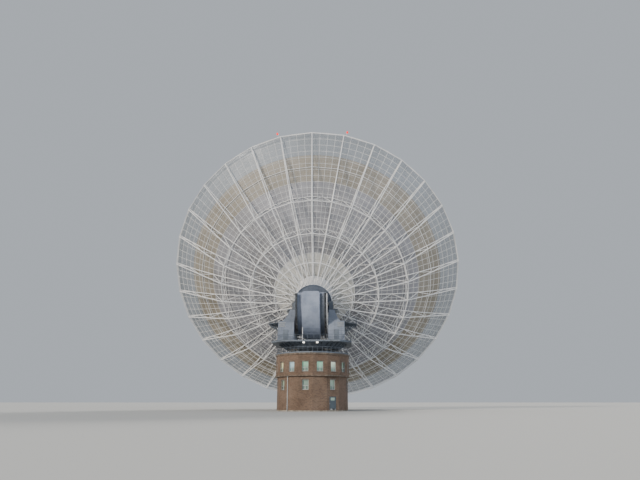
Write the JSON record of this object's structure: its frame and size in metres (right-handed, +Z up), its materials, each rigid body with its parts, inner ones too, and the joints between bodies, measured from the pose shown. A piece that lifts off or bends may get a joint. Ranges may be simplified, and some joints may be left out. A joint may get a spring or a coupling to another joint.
{
  "type": "radio telescope, model at half size",
  "caption": "Steerable radio telescope: a wide ribbed dish with a tripod feed cabin, on a turret that turns on a round walled tower.",
  "frame": {"origin": "middle of the tower's underside, at ground level", "axes": "+Z up; the dish looks towards +Y, raised 35 degrees; +X is to the right as seen from behind the dish, along the elevation axis"},
  "size_m": [31.8248, 19.405, 27.7041],
  "materials": {
    "brick": "matt",
    "concrete": "matt",
    "window_glass": "gloss",
    "door_paint": "satin",
    "rail_steel": "satin",
    "railing_paint": "satin",
    "cladding_paint": "satin",
    "turret_paint": "satin",
    "counterweight_iron": "painted, satin",
    "shaft_steel": "satin",
    "solid_panel": "painted, satin",
    "perforated_panel": "painted, satin",
    "mesh_panel": "satin",
    "cabin_paint": "painted, satin",
    "horn_aluminium": "satin",
    "structure_paint": "satin"
  },
  "bodies": {
    "tower": {"ground_slab": "concrete", "entrance_lintel": "brick", "entrance_wall_left": "brick", "entrance_wall_right": "brick", "lower_wall_north_east": "brick", "lower_wall_north_west": "brick", "lower_wall_south_west": "brick", "upper_wall_south_east": "brick", "upper_wall_north_east": "brick", "upper_wall_north_west": "brick", "upper_wall_south_west": "brick", "first_floor": "concrete", "second_floor": "concrete", "roof_deck": "concrete", "middle_window_glass": "window_glass", "top_window_glass": "window_glass", "walkway_railing": "railing_paint", "track_wall": "concrete", "azimuth_rail": "rail_steel"},
    "door": {"entrance_door": "door_paint"},
    "turret": {"turret_skirt": "turret_paint", "turret_deck": "turret_paint", "azimuth_bogie_front_left": "rail_steel", "azimuth_bogie_rear_left": "rail_steel", "azimuth_bogie_rear_right": "rail_steel", "azimuth_bogie_front_right": "rail_steel", "housing_left": "cladding_paint", "housing_right": "cladding_paint", "platform_left": "turret_paint", "platform_right": "turret_paint", "elevation_bearing_left": "turret_paint", "elevation_bearing_right": "turret_paint"},
    "dish": {"hub": "cladding_paint", "elevation_shaft": "shaft_steel", "gear_sector_left": "turret_paint", "gear_sector_right": "turret_paint", "counterweight": "counterweight_iron", "inner_panels": "solid_panel", "middle_panels": "perforated_panel", "outer_panels": "perforated_panel", "rim_mesh": "mesh_panel", "ribs_top": "structure_paint", "ribs_upper_right": "structure_paint", "ribs_lower_right": "structure_paint", "ribs_bottom": "structure_paint", "ribs_lower_left": "structure_paint", "ribs_upper_left": "structure_paint", "first_ring": "structure_paint", "second_ring": "structure_paint", "third_ring": "structure_paint", "fourth_ring": "structure_paint", "rim": "structure_paint", "feed_leg_upper": "structure_paint", "feed_leg_right": "structure_paint", "feed_leg_left": "structure_paint", "focus_cabin": "cabin_paint", "cabin_deck": "structure_paint", "feed_horn": "horn_aluminium"}
  },
  "joints": [
    {"name": "azimuth", "type": "hinge", "parent": "tower", "child": "turret", "pos_m": [0, 0, 0], "axis": [0, 0, 1], "range_deg": [-225, 225]},
    {"name": "elevation", "type": "hinge", "parent": "turret", "child": "dish", "pos_m": [0, 0, 9.9], "axis": [1, 0, 0], "range_deg": [-4, 54]},
    {"name": "door_hinge", "type": "hinge", "parent": "tower", "child": "door", "pos_m": [2.20542, -2.33952, 0.5], "axis": [0, 0, 1], "range_deg": [0, 90]}
  ]
}
